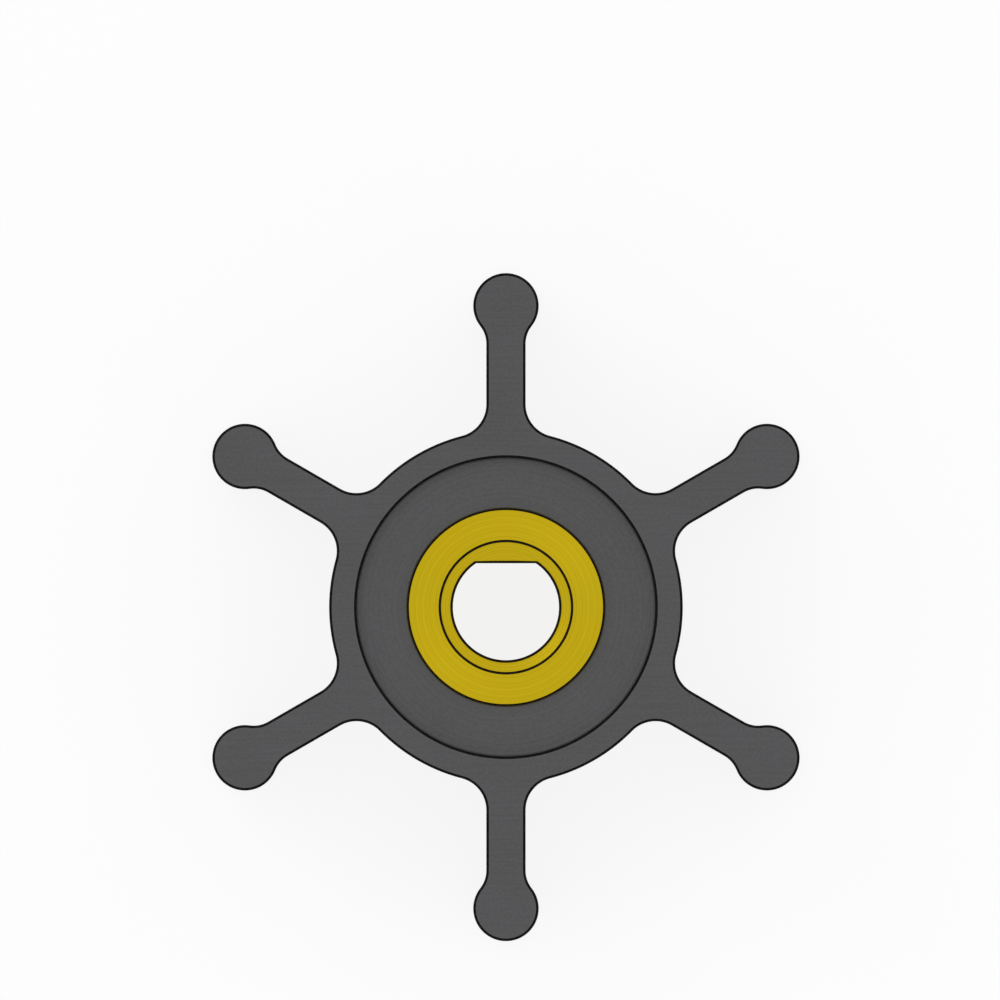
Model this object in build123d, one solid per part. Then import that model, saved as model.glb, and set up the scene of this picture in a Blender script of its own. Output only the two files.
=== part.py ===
from build123d import *
from math import radians, tan
import os

# A flexible pump impeller: six rubber blades with round beads at their tips, moulded in one
# piece with the hub round a brass insert that a shaft with one flat drives.
# The impeller lies on its back face: +Z is its axis, the origin is where the axis meets that
# face, and +Y points along a blade and towards the flat in the bore.

# Rubber, seen from its end, in millimetres
tip_circle_diameter = 51.0
blade_count = 6
blade_thickness = 3.0
bead_diameter = 5.0
neck_radius = 2.2
root_radius = 2.5
hub_diameter = 27.0
rim_width = 2.1

# Rubber, seen from its side
width = 22.0
recess_depth = 0.8
recess_corner_radius = 0.3
edge_radius = 0.2

# Brass insert, outside
insert_diameter = 15.0
insert_setback = 0.3
insert_edge_break = 0.1
collar_length = 2.5
flute_count = 8
flute_radius = 1.2
flute_depth = 0.7
groove_width = 2.0
groove_depth = 1.1

# Brass insert, inside
bore_diameter = 8.1
flat_depth = 0.7
countersink_width = 1.0
countersink_angle = 120.0

# Worked out from the driving dimensions
insert_length = width - 2 * insert_setback
insert_radius = insert_diameter / 2
bore_radius = bore_diameter / 2
flat_distance = bore_radius - flat_depth
recess_radius = hub_diameter / 2 - rim_width
middle = width / 2


def end_outline():
    """The hub circle, straight blades and tip beads, joined by the neck and root radii."""
    bead_pitch_radius = (tip_circle_diameter - bead_diameter) / 2
    with BuildSketch() as outline:
        Circle(hub_diameter / 2)
        with PolarLocations(0, blade_count):
            Rectangle(bead_pitch_radius, blade_thickness, align=(Align.MIN, Align.CENTER))
        with PolarLocations(bead_pitch_radius, blade_count):
            Circle(bead_diameter / 2)
        fillet(outline.vertices().group_by(SortBy.DISTANCE)[1], neck_radius)
        fillet(outline.vertices().group_by(SortBy.DISTANCE)[0], root_radius)
    return Rot(0, 0, 90) * outline.sketch


def insert_blank():
    """The insert before its bore: two round collars, flutes and a groove that key the rubber."""
    groove_floor = insert_radius - groove_depth
    with BuildPart() as blank:
        Cylinder(insert_radius, insert_length)
        chamfer(blank.edges().filter_by(GeomType.CIRCLE), insert_edge_break)
        with PolarLocations(insert_radius - flute_depth + flute_radius, flute_count):
            Cylinder(flute_radius, insert_length - 2 * collar_length, mode=Mode.SUBTRACT)
        with BuildSketch(Plane.XZ) as groove:
            with Locations((groove_floor, 0)):
                Rectangle(insert_radius, groove_width, align=(Align.MIN, Align.CENTER))
        revolve(groove.sketch, Axis.Z, mode=Mode.SUBTRACT)
    return Pos(0, 0, middle) * blank.part


def drive_bore():
    """The D-shaped hole and the shallow cone that a countersink leaves at each mouth."""
    mouth_radius = bore_radius + countersink_width
    cone_height = mouth_radius / tan(radians(countersink_angle / 2))
    with BuildPart() as bore:
        with BuildSketch():
            Circle(bore_radius)
            with Locations((0, flat_distance)):
                Rectangle(
                    bore_diameter, bore_radius, align=(Align.CENTER, Align.MIN), mode=Mode.SUBTRACT
                )
        extrude(amount=insert_length / 2, both=True)
        for end in (-1, 1):
            with Locations(Location((0, 0, end * insert_length / 2), (90 - 90 * end, 0, 0))):
                Cone(0, mouth_radius, cone_height, align=(Align.CENTER, Align.CENTER, Align.MAX))
    return Pos(0, 0, middle) * bore.part


def rubber_moulding():
    """The hub and its blades as one moulding, with a shallow recess in each end."""
    with BuildPart() as rubber:
        add(end_outline())
        extrude(amount=width)
        for end in (Axis.Z, -Axis.Z):
            fillet(rubber.faces().sort_by(end)[-1].edges(), edge_radius)
        with Locations((0, 0, recess_depth / 2), (0, 0, width - recess_depth / 2)):
            Cylinder(recess_radius, recess_depth, mode=Mode.SUBTRACT)
        rings = rubber.edges(Select.LAST).filter_by(GeomType.CIRCLE)
        lower_mouth, lower_floor, upper_floor, upper_mouth = rings.group_by(Axis.Z)
        fillet(lower_floor + upper_floor, recess_corner_radius)
        fillet(lower_mouth + upper_mouth, edge_radius)
    return rubber.part


os.makedirs("parts", exist_ok=True)
blank = insert_blank()
export_step(rubber_moulding() - blank, "parts/rubber_body.step")
export_step(blank - drive_bore(), "parts/brass_insert.step")
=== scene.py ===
# %% [markdown]
# # Dressing a rubber pump impeller
#
# The object is a flexible impeller: a rubber hub with six springy blades, moulded round a brass
# bush that the pump's shaft drives. It comes to this script as two plain solids. Both are made
# again here as surfaces that numpy works out, because trimmed edges and the lines where rubber
# meets brass are finer than a solid needs to be. Then they get the finishes that their making
# leaves on them: moulded and trimmed rubber, turned and broached brass.
#
# Lengths are worked out in millimetres, because that is how such a part is drawn, and are
# turned to metres when they are put into a mesh.

import bmesh
import bpy
import numpy as np
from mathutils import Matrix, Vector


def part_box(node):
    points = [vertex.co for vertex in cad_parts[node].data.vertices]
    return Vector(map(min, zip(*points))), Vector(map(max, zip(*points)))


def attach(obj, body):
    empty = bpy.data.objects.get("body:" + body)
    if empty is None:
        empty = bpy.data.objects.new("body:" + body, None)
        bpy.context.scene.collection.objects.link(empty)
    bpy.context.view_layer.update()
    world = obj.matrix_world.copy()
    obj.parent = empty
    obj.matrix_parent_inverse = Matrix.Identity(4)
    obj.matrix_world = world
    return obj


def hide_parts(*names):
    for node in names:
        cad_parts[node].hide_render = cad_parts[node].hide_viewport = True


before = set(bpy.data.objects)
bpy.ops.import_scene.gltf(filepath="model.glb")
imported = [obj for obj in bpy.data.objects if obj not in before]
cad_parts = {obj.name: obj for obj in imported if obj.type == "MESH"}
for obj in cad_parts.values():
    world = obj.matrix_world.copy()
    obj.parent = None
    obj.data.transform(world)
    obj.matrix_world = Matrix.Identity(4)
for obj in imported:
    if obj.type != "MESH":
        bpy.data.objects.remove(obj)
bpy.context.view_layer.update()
MM = 0.001

# %% [markdown]
# ## What the frame gives
#
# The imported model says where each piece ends. The width, the reach of the blade tips, and the
# radius and ends of the brass bush are read from it, so that the dressed pieces stay where the
# solids are. The sizes that a box can't give are named in the cell that first needs them.

# %% Sizes from the frame, in millimetres
rubber_low, rubber_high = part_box("rubber_body")
brass_low, brass_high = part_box("brass_insert")
width = (rubber_high.z - rubber_low.z) / MM
tip_radius = rubber_high.y / MM
bush_radius = brass_high.x / MM
bush_bottom, bush_top = brass_low.z / MM, brass_high.z / MM
print(f"width {width:.1f}, blade tips at {tip_radius:.2f}, bush radius {bush_radius:.2f}")

# %% [markdown]
# ## From grids to a closed skin
#
# Each surface below is a grid of points, rows by columns, that a formula fills in one go. A
# piece is several grids, called sheets, that share the points along their borders. Merging the
# points that coincide sews them into one closed skin. Numbering the shared points by hand would
# also work, but it is far harder to read and to change.

# %% Sheets
def sheet(x, y, z, finish=0):
    """A grid of points from three arrays that broadcast together, and the finish of its faces."""
    return np.stack(np.broadcast_arrays(x, y, z), axis=-1), finish


def spun(radius, z, angle, finish=0):
    """A profile turned about the axis: x = r cos a and y = r sin a, one row for each radius."""
    return sheet(radius * np.cos(angle), radius * np.sin(angle), z, finish)


def column(*values):
    """Numbers and lists of numbers, joined into one column, as a profile's rows need them."""
    return np.concatenate([np.ravel(value) for value in values])[:, None]


ring, _ = spun(column(1, 2), 0, np.linspace(0, 2 * np.pi, 7))
print("a ring of two radii and seven angles is a grid of", ring.shape)

# %% [markdown]
# ## Room in the map
#
# The finishes here read places in space and need no map. But a model that leaves Blender takes
# its finishes along as pictures, and a picture needs the surface laid out flat. Smart UV Project
# does that in one call, but a ring 0.2 mm wide becomes a curved sliver a pixel or two across,
# and its edge comes out ragged. A sheet is flat already, in its rows and columns, so each gets
# one straight strip of the map, and the border between two finishes follows a row of pixels.
#
# A very narrow sheet gets a higher strip than its size asks for, and a very long one a lower.
# The strips' limits are in millimetres, and the gap between strips is a share of the map's side.

# %% A place in the map for every point
map_name = "OFBake"
map_gap = 0.004
least_strip, most_strip = 0.5, 6.0


def run_down(grid):
    """The way from the first row to each row: the sum of the longest steps from row to row."""
    steps = np.linalg.norm(np.diff(grid, axis=0), axis=-1).max(axis=1)
    return np.append(0, steps.cumsum())


def lay_out(shelves):
    """The place (u, v) of each point: u goes evenly along the columns, and v follows the way down
    the rows. The sheets of one shelf lie side by side, and the shelves one above the other, each
    as high as its sheets run, within the two limits and to one scale."""
    heights = np.clip([run_down(shelf[0][0])[-1] for shelf in shelves], least_strip, most_strip)
    heights *= (1 - map_gap * len(shelves)) / heights.sum()
    bottoms = np.cumsum(heights + map_gap) - heights - map_gap / 2
    places = []
    for shelf, bottom, height in zip(shelves, bottoms, heights):
        ends = np.linspace(0, 1, len(shelf) + 1)
        for (grid, _), left, right in zip(shelf, ends[:-1], ends[1:]):
            down = run_down(grid)
            u = np.linspace(left + map_gap / 2, right - map_gap / 2, grid.shape[1])
            v = bottom + height * column(down / down[-1])
            places.append(np.stack(np.broadcast_arrays(u, v), axis=-1).reshape(-1, 2))
    return np.concatenate(places)


print("the ring's last point lies at", lay_out([[(ring, 0)]])[-1].round(3), "in a map of its own")

# %% [markdown]
# ## Sewing
#
# Each grid point (i, j) starts the face with the corners (i, j), (i, j+1), (i+1, j+1) and
# (i+1, j). Two sheets may run in opposite directions, so the normals are worked out afresh
# once the skin is whole. The count of open edges shows at once where a border doesn't match.

# %% One mesh from several sheets
merge_distance = 0.0005 * MM
sliver_width = 0.0002 * MM


def sew(name, shelves, finishes, crease_degrees):
    """Joins the sheets of all shelves into one closed mesh, which is smooth except at edges
    sharper than the crease."""
    points, faces, slots, start = [], [], [], 0
    for grid, finish in [each for shelf in shelves for each in shelf]:
        rows, columns = grid.shape[:2]
        index = start + np.arange(rows * columns).reshape(rows, columns)
        corners = (index[:-1, :-1], index[:-1, 1:], index[1:, 1:], index[1:, :-1])
        faces.append(np.stack(corners, axis=-1).reshape(-1, 4))
        slots.append(np.full(len(faces[-1]), finish))
        points.append(grid.reshape(-1, 3))
        start += rows * columns
    faces = np.concatenate(faces)
    mesh = bpy.data.meshes.new(name)
    mesh.from_pydata(np.concatenate(points) * MM, [], faces.tolist())
    mesh.polygons.foreach_set("material_index", np.concatenate(slots).astype(np.int32))
    places = lay_out(shelves)[faces.ravel()].astype(np.float32)
    mesh.uv_layers.new(name=map_name).uv.foreach_set("vector", places.ravel())
    for finish in finishes:
        mesh.materials.append(finish)
    skin = bmesh.new()
    skin.from_mesh(mesh)
    bmesh.ops.remove_doubles(skin, verts=skin.verts, dist=merge_distance)
    bmesh.ops.dissolve_degenerate(skin, edges=skin.edges, dist=sliver_width)
    bmesh.ops.recalc_face_normals(skin, faces=skin.faces)
    open_edges = sum(not edge.is_manifold for edge in skin.edges)
    volume = skin.calc_volume(signed=True) / MM**3
    skin.to_mesh(mesh)
    skin.free()
    mesh.shade_smooth()
    mesh.set_sharp_from_angle(angle=np.radians(crease_degrees))
    piece = bpy.data.objects.new(name, mesh)
    bpy.context.scene.collection.objects.link(piece)
    print(f"{name}: {len(mesh.polygons)} faces, {open_edges} open edges, {volume:.0f} mm3")
    return piece


print(f"points within {merge_distance / MM:.4f} mm of each other are merged")

# %% [markdown]
# ## The blade's outline
#
# Seen from its end, half a blade is four stretches that run into each other: the root radius
# that leaves the hub circle, the straight flank, the neck radius, and the bead that ends at the
# tip. A Bevel modifier could round a plain outline, but only roughly to these radii, and they
# are what the part is known by. Two circles that touch have their centres one sum of radii
# apart, and that alone places the root and the neck exactly.

# %% Centres of the arcs, in millimetres, for the right half of a blade along +Y
blade_count = 6
blade_half_thickness = 1.5
bead_radius = 2.5
neck_radius = 2.2
root_radius = 2.5
hub_radius = 13.5

bead_centre = np.array([0, tip_radius - bead_radius])
root_x = blade_half_thickness + root_radius
root_centre = np.array([root_x, np.sqrt((hub_radius + root_radius) ** 2 - root_x**2)])
neck_x = blade_half_thickness + neck_radius
neck_drop = np.sqrt((bead_radius + neck_radius) ** 2 - neck_x**2)
neck_centre = bead_centre + [neck_x, -neck_drop]
root_half_angle = np.arctan2(root_centre[0], root_centre[1])
neck_angle = np.arctan2(neck_drop, -neck_x)
print(f"the flank runs from {root_centre[1]:.2f} to {neck_centre[1]:.2f} mm from the axis")

# %% [markdown]
# Each point of the outline is kept with the direction that points straight out of the rubber
# there. The outline can then be drawn in by the size of an edge radius without a change of
# shape, which scaling it would bring.

# %% Half a blade
spacing = 0.2


def arc(centre, radius, start, stop):
    """Points at the centre plus r (cos a, sin a), and the directions (cos a, sin a)."""
    angle = np.linspace(start, stop, int(radius * abs(stop - start) / spacing) + 2)
    away = np.stack([np.cos(angle), np.sin(angle)], axis=-1)
    return centre + radius * away, away


root, root_in = arc(root_centre, root_radius, 1.5 * np.pi - root_half_angle, np.pi)
neck, neck_in = arc(neck_centre, neck_radius, np.pi, neck_angle)
bead, bead_out = arc(bead_centre, bead_radius, neck_angle - np.pi, np.pi / 2)
flank_count = int(np.hypot(*(neck[0] - root[-1])) / spacing)
flank = np.linspace(root[-1], neck[0], flank_count)[1:-1]
flank_out = np.tile([1.0, 0.0], (len(flank), 1))
half_blade = np.concatenate([root, flank, neck, bead[1:]])
half_blade_out = np.concatenate([-root_in, flank_out, -neck_in, bead_out[1:]])
print("half a blade:", len(half_blade), "points")

# %% [markdown]
# ## Going once round the impeller
#
# The outside needs two trips round the axis. One follows the outline, out along each blade and
# back. The other stays on the hub and cuts straight across each blade's root, and it gives the
# angles that every round surface of the rubber uses, so that all of them meet point to point.
# An Array modifier could repeat one blade, but its copies would still have to be joined to the
# hub. Here the points of one sixth are turned and joined before there is any mesh.

# %% Angles of one sixth
pitch = 2 * np.pi / blade_count
along_y = np.pi / 2
columns_on_hub = 20
columns_on_blade = 20

hub_run = np.linspace(along_y - pitch / 2, along_y - root_half_angle, columns_on_hub + 1)[:-1]
across = np.linspace(1, -1, columns_on_blade + 1)
root_run = along_y - np.arctan(across * np.tan(root_half_angle))
sixth = np.concatenate([hub_run, root_run, 2 * along_y - hub_run[:0:-1]])
blade_turns = np.arange(blade_count) * pitch
rubber_angles = (sixth + blade_turns[:, None]).ravel()
rubber_angles = np.append(rubber_angles, rubber_angles[0] + 2 * np.pi)
print("round surfaces of the rubber have", len(rubber_angles), "angles")

# %% The whole outline
left_for_right = np.array([-1.0, 1.0])


def turned(vectors, angle):
    """Vectors in the plane, turned about the axis: (x cos a - y sin a, x sin a + y cos a)."""
    cosine, sine = np.cos(angle), np.sin(angle)
    return vectors @ np.array([[cosine, sine], [-sine, cosine]])


def all_round(way_out):
    """The way out along a blade, the same way back in its mirror, and both for every blade."""
    there_and_back = np.concatenate([way_out, way_out[-2:0:-1] * left_for_right])
    trip = np.concatenate([turned(there_and_back, angle) for angle in blade_turns])
    return np.concatenate([trip, trip[:1]])


hub_out = np.stack([np.cos(hub_run), np.sin(hub_run)], axis=-1)
outline = all_round(np.concatenate([hub_out * hub_radius, half_blade]))
outline_out = all_round(np.concatenate([hub_out, half_blade_out]))
length = np.hypot(*np.diff(outline, axis=0).T).sum()
print(f"outline: {len(outline)} points, {length:.1f} mm long")

# %% [markdown]
# ## The outer wall and its trimmed edges
#
# The mould is a thick plate with the whole outline cut through it, closed by a flat plate on
# each side. Where the plates meet, rubber creeps out as flash and is trimmed off, which leaves
# the edges of both ends slightly rounded and raw. An edge is what the eye finds first, so they
# are real geometry and not bump: a quarter circle of insets and depths, carried all along the
# outline. A narrow strip of flat face beside it keeps the shading of the two apart.

# %% Carried along the outline, in millimetres
# The rounded edges take the trimmed finish, whose near-black colour is torn rubber and also
# painted shade that outlines them.
PLATE, DISC, WALL, TRIMMED_AND_SHADED = range(4)
edge_radius = 0.2
support = 0.05
edge_rows = 6
wall_rows = 7


def carried(inward, z, finish):
    """Each point goes in from the outline by its row's inset, along the outline's direction."""
    x = outline[:, 0] - inward * outline_out[:, 0]
    y = outline[:, 1] - inward * outline_out[:, 1]
    return sheet(x, y, z, finish)


def outer_wall():
    """The two trimmed edges, with inset r (1 - sin a) and depth r (1 - cos a), the plain wall
    between them, and the first strip of each end."""
    quarter = column(np.linspace(0, np.pi / 2, edge_rows))
    inset, depth = edge_radius * (1 - np.sin(quarter)), edge_radius * (1 - np.cos(quarter))
    edges = [carried(inset, z, TRIMMED_AND_SHADED) for z in (width - depth, depth)]
    side = carried(0, column(np.linspace(edge_radius, width - edge_radius, wall_rows)), WALL)
    strips = [carried(column(edge_radius, edge_radius + support), z, PLATE) for z in (0, width)]
    return [*edges, side, *strips]


print("outer wall:", sum(grid.shape[0] - 1 for grid, _ in outer_wall()), "bands of faces")

# %% [markdown]
# ## The end faces
#
# One face with a thousand corners would fill each end in a line of code, but Blender cuts such
# a face into long slivers, which shade badly and export worse. The blades' necks are narrower
# than their beads, so no fan of lines from the centre covers an end either. It is cut into
# seven simple sheets: a ring, whose outer border cuts straight across each blade's root, and
# six blade ends, ruled from one side of the blade to the other. At the tip the ruled line
# shrinks to a point.

# %% The end faces, in millimetres
recess_radius = 11.4
ring_bands = 4
face_inset = edge_radius + support
ring_inner = recess_radius + face_inset
ring_outer = hub_radius - face_inset


def end_ring(z):
    """From the recess's edge out to the hub circle, of radius r, or to the straight line across
    a root, r cos h / cos a, where h is half the root's angle and a the angle from its blade."""
    from_blade = np.abs((rubber_angles - along_y + pitch / 2) % pitch - pitch / 2)
    across_root = ring_outer * np.cos(root_half_angle) / np.cos(from_blade)
    reach = np.where(from_blade < root_half_angle, across_root, ring_outer)
    share = column(np.linspace(0, 1, ring_bands + 1))
    return spun(ring_inner + (reach - ring_inner) * share, z, rubber_angles, PLATE)


def blade_ends(z):
    """Each row is a straight line across the blade, between mirrored points of its outline."""
    side = half_blade - face_inset * half_blade_out
    rows = np.stack(np.broadcast_arrays(side[:, :1] * across, side[:, 1:]), axis=-1)
    placed = [turned(rows, angle) for angle in blade_turns]
    return [sheet(blade[..., 0], blade[..., 1], z, PLATE) for blade in placed]


print("end faces:", 1 + len(blade_ends(0)), "sheets each")

# %% [markdown]
# ## The bush's keyed wall
#
# A smooth bush would turn inside its rubber. This one has eight flutes along its middle and a
# groove round it, between two plain collars, and the rubber has flowed into all of them. The
# usual way to make them is a Boolean modifier with a cutter for each, but it leaves ragged faces
# where the cuts cross. The same wall is also a radius that depends on the angle, and that one
# function serves the hole in the rubber as well as the bush. None of it shows, but the meshes
# are then true inside as well.

# %% The keyed wall, in millimetres
collar_length = 2.5
flute_count = 8
flute_radius = 1.2
flute_depth = 0.7
groove_width = 2.0
groove_depth = 1.1
middle = width / 2


def fluted(angle):
    """The bush's circle where no flute is, and the near side of the flute's circle where one is:
    c cos a - sqrt(f^2 - (c sin a)^2), for a flute of radius f centred at c."""
    step = 2 * np.pi / flute_count
    from_flute = (angle + step / 2) % step - step / 2
    centre = bush_radius - flute_depth + flute_radius
    under_root = flute_radius**2 - (centre * np.sin(from_flute)) ** 2
    cut = centre * np.cos(from_flute) - np.sqrt(np.clip(under_root, 0, None))
    return np.where(under_root > 0, np.minimum(cut, bush_radius), bush_radius)


def keyed_wall(angle, top, bottom, finish):
    """Two rows for each stretch, from the top down: collar, flutes, groove, flutes, collar."""
    plain = np.full_like(angle, bush_radius)
    groove = np.full_like(angle, bush_radius - groove_depth)
    stretches = np.stack([plain, fluted(angle), groove, fluted(angle), plain])
    ledges = [bush_top - collar_length, middle + groove_width / 2,
              middle - groove_width / 2, bush_bottom + collar_length]
    return spun(np.repeat(stretches, 2, axis=0), column(top, np.repeat(ledges, 2), bottom),
                angle, finish)


print(f"flutes from {fluted(np.zeros(1))[0]:.2f} mm out to {bush_radius:.2f} mm")

# %% [markdown]
# ## The recess in each end
#
# The middle of each end is set back, so that only the rim and the blades rub on the pump's
# plates. The disc that leaves it stands on the mould's end plate, and the thin flash round that
# disc is trimmed too. Where the rubber meets the brass, it has shrunk a hair's breadth away as
# it cooled, which draws a fine dark line round the bush. All of it is round, so it is one short
# profile, as columns of radius and depth, that is turned about the axis as a lathe would.

# %% The recess, in millimetres
recess_depth = 0.8
recess_corner_radius = 0.3
bond_line_width = 0.12
bond_line_depth = 0.18
bend_rows = 5
fall_rows = 6
bend = column(np.linspace(0, np.pi / 2, bend_rows))


def recess_rings():
    """Radius, depth and finish of three rings: the rim's last strip, the trimmed edge, and the
    recess itself, whose last stretch falls away to the brass as the square of the way there."""
    mouth = recess_radius + edge_radius * (1 - np.sin(bend))
    mouth_depth = edge_radius * (1 - np.cos(bend))
    corner_centre = recess_radius - recess_corner_radius
    corner = corner_centre + recess_corner_radius * np.cos(bend)
    corner_depth = recess_depth - recess_corner_radius * (1 - np.sin(bend))
    fall = column(np.linspace(0, 1, fall_rows))
    bond_line = bush_radius + bond_line_width * (1 - fall)
    supports = column(corner_centre - support, bond_line[0] + support)
    radius = column(mouth[-1], corner, supports, bond_line)
    depth = column(mouth_depth[-1], corner_depth, recess_depth, recess_depth,
                   recess_depth + bond_line_depth * fall**2)
    # The trimmed ring at the recess's mouth is painted near black too, as shade that draws the
    # ring.
    return [(column(ring_inner, mouth[0]), column(0, 0), PLATE),
            (mouth, mouth_depth, TRIMMED_AND_SHADED), (radius, depth, DISC)]


def end_recesses():
    """The same rings at both ends, and the keyed wall from one bond line to the other."""
    bottom = [spun(radius, depth, rubber_angles, finish)
              for radius, depth, finish in recess_rings()]
    top = [spun(radius, width - depth, rubber_angles, finish)
           for radius, depth, finish in recess_rings()]
    deepest = recess_depth + bond_line_depth
    return bottom + top + [keyed_wall(rubber_angles, width - deepest, deepest, DISC)]


print(f"the rubber meets the brass {recess_depth + bond_line_depth:.2f} mm below each end")

# %% [markdown]
# ## The brass bush
#
# The bush is turned from bar: faced, drilled, countersunk at both ends, and then broached to
# leave one flat in its bore. A lathe profile alone can't give the flat. But the radius can
# again be a function of the angle, and in the bore it is the smaller of the drill's circle and
# the flat's line. The countersink is a wide, shallow cone that goes down until it meets that
# wall, deeper where the flat is. Its two edges and the bush's outer edge keep a narrow film of
# rubber from the mould, so each of them is a ring with a finish of its own.

# %% Sizes of the bush, in millimetres
# The edge rings take the smeared finish, whose near-black colour is partly the rubber film and
# partly painted shade that draws each edge as a line.
TURNED, BROACHED, SMEARED_AND_SHADED = range(3)
bore_radius = 4.05
flat_distance = 3.35
countersink_width = 1.0
countersink_degrees = 120
bush_edge_break = 0.1
film_width = 0.2

mouth_radius = bore_radius + countersink_width
slope = 1 / np.tan(np.radians(countersink_degrees / 2))
flat_half_angle = np.arccos(flat_distance / bore_radius)
flat_ends = [along_y - flat_half_angle, along_y + flat_half_angle]
bush_angles = np.unique(np.append(np.radians(np.arange(360)), flat_ends))
bush_angles = np.append(bush_angles, bush_angles[0] + 2 * np.pi)
print(f"the countersink is {slope * countersink_width:.2f} mm deep beside the bore")

# %% The bush's ends
cone_bands = 5
film_rows = 5
tiny = 1e-6


def d_bore(angle):
    """The smaller of the circle's radius and the distance to the flat's line, d / sin a."""
    return np.minimum(bore_radius, flat_distance / np.clip(np.sin(angle), tiny, None))


def cone_depth(radius):
    """The countersink's depth: its slope times the way in from its mouth."""
    return slope * (mouth_radius - radius)


def bush_rings():
    """Radius, depth and finish of five rings from the outer edge in to the bore. The film on
    the mouth's edge is a parabola that leaves the face level and joins the cone's slope."""
    wall = d_bore(bush_angles)
    edge = column(bush_radius, bush_radius - bush_edge_break)
    film = column(np.linspace(0, film_width, film_rows))
    lip = mouth_radius + film_width / 2 - film
    face = column(edge[-1], edge[-1] - support, lip[0] + support, lip[0])
    cone = lip[-1] + (wall + film_width - lip[-1]) * column(np.linspace(0, 1, cone_bands + 1))
    bore_edge = np.stack([wall + film_width, wall])
    return [(edge, column(bush_edge_break, 0), SMEARED_AND_SHADED), (face, 0, TURNED),
            (lip, slope * film**2 / (2 * film_width), SMEARED_AND_SHADED),
            (cone, cone_depth(cone), TURNED), (bore_edge, cone_depth(bore_edge), SMEARED_AND_SHADED)]


print("each end of the bush:", len(bush_rings()), "rings")

# %% The whole bush
def bush_sheets():
    """Both ends, the keyed outside, and the bore between the countersinks."""
    top = [spun(radius, bush_top - depth, bush_angles, finish)
           for radius, depth, finish in bush_rings()]
    bottom = [spun(radius, bush_bottom + depth, bush_angles, finish)
              for radius, depth, finish in bush_rings()]
    outside = keyed_wall(bush_angles, bush_top - bush_edge_break,
                         bush_bottom + bush_edge_break, TURNED)
    wall = np.stack([d_bore(bush_angles)] * 2)
    ends = np.stack([bush_top - cone_depth(wall[0]), bush_bottom + cone_depth(wall[1])])
    return [*top, *bottom, outside, spun(wall, ends, bush_angles, BROACHED)]


print("bush:", len(bush_sheets()), "sheets")

# %% [markdown]
# ## One function for a node
#
# A material is a small graph. One helper adds a node, sets its values and draws its links, so
# that each finish below reads as a list of what it is made of. Some nodes have several sockets
# of one name, and those are given by number: a Mix node's factor is input 0, its two colours
# are inputs 6 and 7, and its mixed colour is output 2.

# %% Nodes and colours
def add(tree, kind, settings=None, **inputs):
    """Adds a node. Settings are its properties, and inputs are its sockets by name, with spaces
    as underscores, or by number after an underscore. A node or socket as a value is linked."""
    node = tree.nodes.new(kind)
    for key, value in (settings or {}).items():
        setattr(node, key, value)
    for key, value in inputs.items():
        place = int(key[1:]) if key[0] == "_" else key.replace("_", " ")
        socket = node.inputs[place]
        if isinstance(value, bpy.types.Node):
            value = value.outputs[0]
        if isinstance(value, bpy.types.NodeSocket):
            tree.links.new(value, socket)
        else:
            socket.default_value = value
    return node


def linear(colour):
    """The linear colour of an sRGB hex value such as #565658, by the curve that the sRGB standard
    gives, with an alpha of one."""
    values = np.array([int(colour[i:i + 2], 16) for i in (1, 3, 5)]) / 255
    return (*np.where(values > 0.04045, ((values + 0.055) / 1.055) ** 2.4, values / 12.92), 1.0)


def new_finish(name):
    """A new material with an empty graph, its output, and the point being shaded."""
    material = bpy.data.materials.new(name)
    material.use_nodes = True
    tree = material.node_tree
    tree.nodes.clear()
    place = add(tree, "ShaderNodeTexCoord").outputs["Object"]
    return material, tree, add(tree, "ShaderNodeOutputMaterial"), place


print("mid grey #808080 is", round(float(linear("#808080")[0]), 3), "in linear light")

# %% [markdown]
# ## The marks of a mould
#
# Rubber copies every mark of the steel that it was moulded against. The end plates of the mould
# are ground, the discs that leave the recesses are turned, and the outline is cut by a wire that
# runs along the axis. A picture of such marks would follow the map, and be drawn out wherever a
# strip is. Noise that reads object coordinates has no seams and keeps its real size on every
# face. Stretching a noise along one direction draws lines that way, and a noise of one dimension
# that is read along the radius draws rings.
#
# Real marks are some hundredths of a millimetre apart, too fine for a picture of the whole
# part, so the lines here are 0.2 mm apart, which is as coarse as they need to be to show.
#
# Blender's noise is mostly between 0.3 and 0.7. A Map Range node stretches such a span from zero
# to one, and a narrower span gives harder borders. Both spans are named here for all finishes.

# %% The lay of the marks
line_spacing = 0.2 * MM
stretch = {"ground": (0.03, 1, 1), "along the axis": (1, 1, 0.02)}
soft_span = {"From_Min": 0.3, "From_Max": 0.7}
hard_span = {"From_Min": 0.35, "From_Max": 0.65}


def from_axis(tree, place):
    """The distance of the shaded point from the axis: the length of (x, y, 0)."""
    flat = add(tree, "ShaderNodeVectorMath", {"operation": "MULTIPLY"}, _0=place, _1=(1, 1, 0))
    return add(tree, "ShaderNodeVectorMath", {"operation": "LENGTH"}, _0=flat).outputs["Value"]


def lay_of_marks(tree, place, lay):
    """Fine lines as noise: parallel on ground steel, round on turned, or along the axis."""
    if lay == "turned":
        return add(tree, "ShaderNodeTexNoise", {"noise_dimensions": "1D"},
                   W=from_axis(tree, place), Scale=1 / line_spacing, Detail=2.0)
    drawn = add(tree, "ShaderNodeMapping", Vector=place, Scale=stretch[lay])
    return add(tree, "ShaderNodeTexNoise", Vector=drawn, Scale=1 / line_spacing, Detail=2.0)


print(f"marks every {line_spacing / MM:.2f} mm, drawn out {1 / stretch['ground'][0]:.0f} times")

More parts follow.
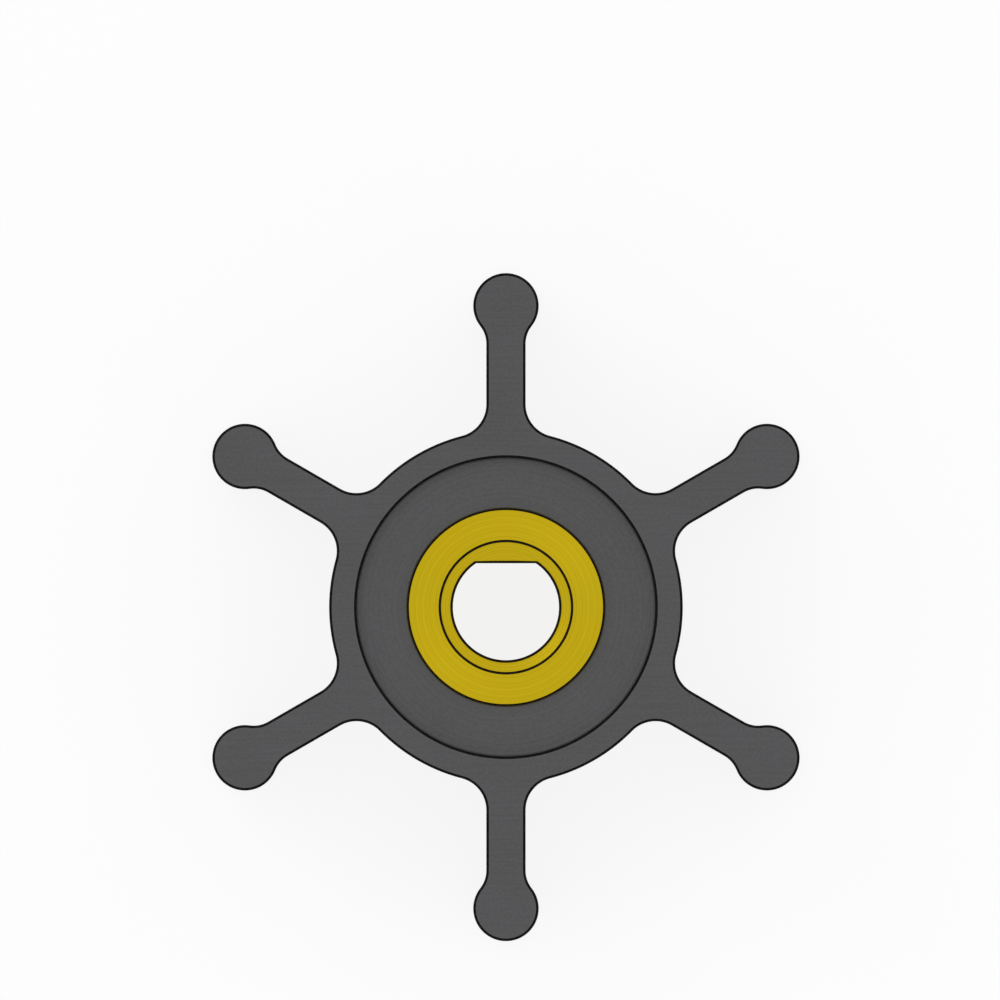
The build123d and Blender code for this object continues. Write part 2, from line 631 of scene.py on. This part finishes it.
# %% [markdown]
# ## Moulded nitrile rubber
#
# Black rubber is seldom black to the eye. Wax and filler come to its surface as a thin grey
# bloom, in clouds some millimetres wide, and the bloom hides most of its shine. One dark grey
# would do from afar, but from near it looks like paint. So the colour and the roughness follow
# one cloudy noise, and the mould's marks and a fine tooth give the relief. The same function
# makes this rubber three times, once for each lay of the marks.
#
# The relief is the tooth plus 0.7 of the marks, so it is mostly between 0.7 and 1.0.

# %% Moulded rubber
bare_rubber, bloomed_rubber = "#3b3b3c", "#48484a"
bloom_size = 6 * MM
tooth_size = 0.22 * MM
relief_height = 0.03 * MM
relief_span = {"From_Min": 0.7, "From_Max": 1.0}
marks_to_tooth = 0.7
most_from_one = 0.5
bare_roughness, bloomed_roughness = 0.5, 0.6
rubber_ior = 1.52


def moulded_rubber(name, lay):
    """Bloom and relief each take the colour up to half of the way from bare to bloomed, and the
    bloom dulls it as well."""
    material, tree, output, place = new_finish(name)
    tooth = add(tree, "ShaderNodeTexNoise", Vector=place, Scale=1 / tooth_size, Detail=2.0)
    relief = add(tree, "ShaderNodeMath", {"operation": "MULTIPLY_ADD"},
                 _0=lay_of_marks(tree, place, lay), _1=marks_to_tooth, _2=tooth)
    cloud = add(tree, "ShaderNodeTexNoise", Vector=place, Scale=1 / bloom_size, Detail=4.0)
    bloom = add(tree, "ShaderNodeMapRange", Value=cloud, To_Max=most_from_one, **soft_span)
    fine = add(tree, "ShaderNodeMapRange", Value=relief, To_Max=most_from_one, **relief_span)
    share = add(tree, "ShaderNodeMath", {"operation": "ADD"}, _0=bloom, _1=fine)
    grey = add(tree, "ShaderNodeMix", {"data_type": "RGBA"},
               _0=share, _6=linear(bare_rubber), _7=linear(bloomed_rubber))
    rough = add(tree, "ShaderNodeMapRange", Value=bloom, From_Max=most_from_one,
                To_Min=bare_roughness, To_Max=bloomed_roughness)
    bumps = add(tree, "ShaderNodeBump", Height=relief, Strength=0.6, Distance=relief_height)
    skin = add(tree, "ShaderNodeBsdfPrincipled", Base_Color=grey.outputs[2], Roughness=rough,
               IOR=rubber_ior, Normal=bumps)
    tree.links.new(skin.outputs[0], output.inputs[0])
    return material


rubber_finishes = [
    moulded_rubber("nitrile_rubber_moulded_on_ground_plate", "ground"),
    moulded_rubber("nitrile_rubber_moulded_on_turned_disc", "turned"),
    moulded_rubber("nitrile_rubber_moulded_on_wire_cut_wall", "along the axis"),
]
print("moulded rubber:", [finish.name for finish in rubber_finishes])

# %% [markdown]
# ## Trimmed nitrile rubber, with painted edge shade
#
# Where the flash was trimmed off, the rubber is torn. It has no bloom there, so it shows the black
# of its carbon filler, and it is too coarse to shine. Its near-black colour is also painted shade:
# it darkens the rounded edges into a line, as shade would, and that is what makes a moulded part's
# edges look drawn with a pen. A Bevel node could darken whatever is sharp, but it would catch
# corners that were never trimmed. The rounding has faces of its own, so it takes a finish of its
# own. It is the fourth in the list, in the order of the sheets' slots.

# %% Trimmed rubber, with painted edge shade
# Near black: torn rubber without bloom, and painted shade that draws each edge as a line.
filler_black_and_edge_shade, torn_grey_and_edge_shade = "#080808", "#181819"
tear_size = 0.3 * MM
tear_height = 0.05 * MM


def trimmed_rubber_with_edge_shade(name):
    """Tears of about the edge's own width, nearly black as painted edge shade, with little of the
    shine left.
    """
    material, tree, output, place = new_finish(name)
    tears = add(tree, "ShaderNodeTexNoise", Vector=place, Scale=1 / tear_size, Detail=3.0)
    share = add(tree, "ShaderNodeMapRange", Value=tears, **hard_span)
    black = add(tree, "ShaderNodeMix", {"data_type": "RGBA"},
                _0=share, _6=linear(filler_black_and_edge_shade), _7=linear(torn_grey_and_edge_shade))
    bumps = add(tree, "ShaderNodeBump", Height=tears, Strength=0.6, Distance=tear_height)
    torn = add(tree, "ShaderNodeBsdfPrincipled", Base_Color=black.outputs[2], Roughness=0.85,
               IOR=rubber_ior, Specular_IOR_Level=0.06, Normal=bumps)
    tree.links.new(torn.outputs[0], output.inputs[0])
    return material


rubber_finishes.append(trimmed_rubber_with_edge_shade("nitrile_rubber_trimmed_edge_with_painted_shade"))
print("rubber finishes:", len(rubber_finishes))

# %% [markdown]
# ## Turned brass
#
# Brass is a metal, so all of its colour is in its reflection, and how a light spreads over it
# tells the eye how it was cut. A lathe tool leaves rings round the axis, whose furrows hold a
# darker patina than their ridges. Rings stretch a highlight across themselves, and modelling
# every furrow for that would take millions of faces. The shader's anisotropy does it instead,
# with a tangent that runs round the axis, so that it needs no map either.
#
# A finishing cut feeds about 0.05 mm a turn. The rings here are 0.12 mm apart, to show.

# %% Turned brass
yellow_brass, green_brass, furrow_brass = "#cbad17", "#c5af1b", "#b69e15"
feed = 0.12 * MM
feed_along_axis = 0.8
patina_size = 2.5 * MM
furrow_depth = 0.01 * MM


def turned_brass(name):
    """Rings are a noise of one dimension, read along the radius plus a share of the length, so
    that they show on faces, cones and cylinders alike."""
    material, tree, output, place = new_finish(name)
    length = add(tree, "ShaderNodeSeparateXYZ", Vector=place).outputs["Z"]
    tool_path = add(tree, "ShaderNodeMath", {"operation": "MULTIPLY_ADD"},
                    _0=length, _1=feed_along_axis, _2=from_axis(tree, place))
    rings = add(tree, "ShaderNodeTexNoise", {"noise_dimensions": "1D"}, W=tool_path,
                Scale=1 / feed, Detail=2.0)
    cloud = add(tree, "ShaderNodeTexNoise", Vector=place, Scale=1 / patina_size, Detail=4.0)
    patina = add(tree, "ShaderNodeMapRange", Value=cloud, **soft_span)
    ridge = add(tree, "ShaderNodeMapRange", Value=rings, **soft_span)
    ridge_colour = add(tree, "ShaderNodeMix", {"data_type": "RGBA"},
                       _0=patina, _6=linear(yellow_brass), _7=linear(green_brass))
    colour = add(tree, "ShaderNodeMix", {"data_type": "RGBA"},
                 _0=ridge, _6=linear(furrow_brass), _7=ridge_colour.outputs[2])
    furrows = add(tree, "ShaderNodeBump", Height=rings, Strength=0.5, Distance=furrow_depth)
    round_axis = add(tree, "ShaderNodeTangent", {"direction_type": "RADIAL", "axis": "Z"})
    metal = add(tree, "ShaderNodeBsdfPrincipled", Base_Color=colour.outputs[2], Metallic=1.0,
                Roughness=0.36, Anisotropic=0.6, Normal=furrows, Tangent=round_axis)
    tree.links.new(metal.outputs[0], output.inputs[0])
    return material


brass_finishes = [turned_brass("turned_brass")]
print(f"{(bush_radius - mouth_radius) * MM / feed:.0f} rings on each face of the bush")

# %% [markdown]
# ## Broached brass
#
# The broach is pulled through the bore, so its lines run along the axis. They are the same
# stretched noise as on the rubber's outline, because the lay is the same. The bore is deep and
# sees little light, so plain roughness is enough here, without anisotropy.

# %% Broached brass
def broached_brass(name):
    """Lines along the bore, between the furrow's colour and the ridge's."""
    material, tree, output, place = new_finish(name)
    lines = lay_of_marks(tree, place, "along the axis")
    shade = add(tree, "ShaderNodeMapRange", Value=lines, **hard_span)
    colour = add(tree, "ShaderNodeMix", {"data_type": "RGBA"},
                 _0=shade, _6=linear(furrow_brass), _7=linear(yellow_brass))
    marks = add(tree, "ShaderNodeBump", Height=lines, Strength=0.4, Distance=furrow_depth)
    metal = add(tree, "ShaderNodeBsdfPrincipled", Base_Color=colour.outputs[2], Metallic=1.0,
                Roughness=0.4, Normal=marks)
    tree.links.new(metal.outputs[0], output.inputs[0])
    return material


brass_finishes.append(broached_brass("broached_brass"))
print("brass finishes so far:", [finish.name for finish in brass_finishes])

# %% [markdown]
# ## The film and painted shade on the brass's edges
#
# The mould pinches the bush by its edges, and a hair of rubber creeps in there and stays. It is
# too thin to model as a piece of its own, and what shows of it is a brown-black line with the
# brass dulled beneath. That line is also painted shade, darker than the film alone, so that each
# edge of the brass reads as a dark line. So it is a finish on the narrow rings that the bush has
# for it, a dielectric like rubber and not a metal.

# %% Rubber film and painted edge shade
# Brown-black: the rubber film, and painted shade that draws the brass's edges as lines.
thick_film_and_edge_shade, thin_film_and_edge_shade = "#0c0904", "#1e170a"
film_patch = 0.5 * MM


def smeared_brass_with_edge_shade(name):
    """Patches of thick and thin film, near black as painted edge shade, rough, with little shine.
    """
    material, tree, output, place = new_finish(name)
    patches = add(tree, "ShaderNodeTexNoise", Vector=place, Scale=1 / film_patch, Detail=3.0)
    share = add(tree, "ShaderNodeMapRange", Value=patches, **hard_span)
    brown = add(tree, "ShaderNodeMix", {"data_type": "RGBA"},
                _0=share, _6=linear(thick_film_and_edge_shade), _7=linear(thin_film_and_edge_shade))
    film = add(tree, "ShaderNodeBsdfPrincipled", Base_Color=brown.outputs[2], Roughness=0.8,
               IOR=rubber_ior, Specular_IOR_Level=0.08)
    tree.links.new(film.outputs[0], output.inputs[0])
    return material


brass_finishes.append(smeared_brass_with_edge_shade("rubber_film_and_painted_shade_on_brass_edge"))
print("brass finishes:", len(brass_finishes))

# %% [markdown]
# ## Both pieces
#
# Each piece is sewn, rides on the one body, and stands in for its CAD solid. The rubber's rounded
# edges turn by at most 22.5 degrees from one face to the next, so a crease of 40 degrees keeps
# them smooth. In the bush, the flat meets the bore at 34 degrees, which has to stay crisp, so its
# crease is 25.
# In the map, a sheet has a shelf to itself. The sheets along the outline are 223 mm long and
# would be squeezed to fit one, so they are cut in three first. The six blade ends of a side are
# short, and share a shelf.

# %% The rubber moulding
rubber_crease = 40
wall_parts = 3


def in_parts(long_sheet, count):
    """A long sheet as several shorter ones, which share the column of points at each cut."""
    grid, finish = long_sheet
    ends = np.linspace(0, grid.shape[1] - 1, count + 1).astype(int)
    return [(grid[:, start:stop + 1], finish) for start, stop in zip(ends[:-1], ends[1:])]


wall_sheets = [part for each in outer_wall() for part in in_parts(each, wall_parts)]
rubber_shelves = [[each] for each in wall_sheets + end_recesses()]
for z in (0, width):
    rubber_shelves += [[end_ring(z)], blade_ends(z)]
rubber = sew("rubber_moulding", rubber_shelves, rubber_finishes, rubber_crease)
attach(rubber, "root")
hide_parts("rubber_body")

# %% The brass bush
brass_crease = 25

bush = sew("brass_bush", [[each] for each in bush_sheets()], brass_finishes, brass_crease)
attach(bush, "root")
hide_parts("brass_insert")

# %% [markdown]
# ## A white studio
#
# The floor should look plain white and still hold the impeller's shadow. Brighter lamps would
# whiten it, but they would bleach the rubber too. Instead, most of the floor's white is light
# of its own, which only the camera, mirror-like reflections and clear things see, as the Light
# Path node tells them apart. The rest is pale paper, lit as the impeller is, and it keeps the
# shadow. The floor lies a hair below the impeller, so that the two flat faces don't flicker.

# %% The floor's paper
own_white = 0.87
plain_white, pale_paper = "#ffffff", "#fafafa"


def seen_plainly(tree):
    """One for camera, mirrored and transmitted rays, and zero for scattered light."""
    path = add(tree, "ShaderNodeLightPath").outputs
    eye = add(tree, "ShaderNodeMath", {"operation": "MAXIMUM"},
              _0=path["Is Camera Ray"], _1=path["Is Glossy Ray"])
    return add(tree, "ShaderNodeMath", {"operation": "MAXIMUM"},
               _0=eye, _1=path["Is Transmission Ray"])


paper, tree, output, _ = new_finish("studio_floor")
share = add(tree, "ShaderNodeMath", {"operation": "MULTIPLY"}, _0=seen_plainly(tree), _1=own_white)
lit = add(tree, "ShaderNodeBsdfDiffuse", Color=linear(pale_paper))
white = add(tree, "ShaderNodeEmission", Color=linear(plain_white), Strength=1.0)
blend = add(tree, "ShaderNodeMixShader", _0=share, _1=lit, _2=white)
tree.links.new(blend.outputs[0], output.inputs[0])
print(f"{own_white:.0%} of the paper's white is its own")

# %% The floor, in metres
floor_half = 2.0
floor_drop = 0.02 * MM

square = np.array([[-1, -1], [1, -1], [1, 1], [-1, 1]]) * floor_half
floor_mesh = bpy.data.meshes.new("studio_floor")
floor_mesh.from_pydata(np.column_stack([square, np.full(4, -floor_drop)]), [], [[0, 1, 2, 3]])
floor_mesh.materials.append(paper)
floor = bpy.data.objects.new("studio_floor", floor_mesh)
bpy.context.scene.collection.objects.link(floor)
print(f"floor {2 * floor_half:.0f} m square, {floor_drop / MM:.2f} mm below the impeller")

# %% [markdown]
# The world works in the same way: a white room to the eye and to the brass, and half as bright
# for what it lights, so that the lamps still give the rubber its form. Its white is the one
# that the lit floor shows, so that no line shows where one ends and the other begins.

# %% The room
room_white = "#fdfdfd"
room_light = 0.5

world = bpy.data.worlds.new("studio")
bpy.context.scene.world = world
world.use_nodes = True
tree = world.node_tree
tree.nodes.clear()
strength = add(tree, "ShaderNodeMath", {"operation": "MAXIMUM"},
               _0=seen_plainly(tree), _1=room_light)
room = add(tree, "ShaderNodeBackground", Color=linear(room_white), Strength=strength)
add(tree, "ShaderNodeOutputWorld", Surface=room)
print(f"the room looks {room_white} and gives {room_light} of its light")

# %% [markdown]
# ## Two soft lamps
#
# The large lamp overhead lights rubber and floor evenly. A sun lamp would light them as evenly,
# but its shadow would be hard. The large lamp is kept out of reflections, because flat brass
# that looks straight up would mirror it on top of the white room and burn out. The small lamp
# to one side may be mirrored, and gives the turned rings their fan of light.

# %% Lamps, in metres and watts
def soft_lamp(name, size, power, place, mirrored):
    """A square lamp that faces the impeller."""
    light = bpy.data.lights.new(name, "AREA")
    light.size = size
    light.energy = power
    lamp = bpy.data.objects.new(name, light)
    lamp.location = place
    lamp.rotation_euler = (-lamp.location).to_track_quat("-Z", "Y").to_euler()
    lamp.visible_glossy = mirrored
    bpy.context.scene.collection.objects.link(lamp)
    print(f"{name}: {power} W, {lamp.location.length:.2f} m away")


soft_lamp("overhead_softbox", size=1.0, power=3.8, place=(0.0, 0.05, 0.8), mirrored=False)
soft_lamp("side_softbox", size=0.35, power=0.45, place=(-0.35, 0.35, 0.6), mirrored=True)

# %% [markdown]
# ## The camera
#
# The view is square on to the impeller's end and has no perspective, as a drawing has none. A
# long lens far away would come close to that, and an orthographic camera has it exactly. Two
# measures place it: how many pixels a millimetre takes, and the pixel where the axis lies. The
# camera moves the other way by what that pixel is off the middle, and the picture's rows count
# downwards.

# %% The camera, in metres, and the view
picture_pixels = 1000
pixels_per_mm = 13.10
axis_column, axis_row = 505.95, 607.14
camera_height = 0.3

camera_data = bpy.data.cameras.new("camera")
camera_data.type = "ORTHO"
camera_data.ortho_scale = picture_pixels / pixels_per_mm * MM
camera = bpy.data.objects.new("camera", camera_data)
camera.location = (
    (picture_pixels / 2 - axis_column) / pixels_per_mm * MM,
    (axis_row - picture_pixels / 2) / pixels_per_mm * MM,
    camera_height,
)
bpy.context.scene.collection.objects.link(camera)
bpy.context.scene.camera = camera
bpy.context.scene.view_settings.view_transform = "Standard"
print(f"the picture is {camera_data.ortho_scale / MM:.1f} mm wide")
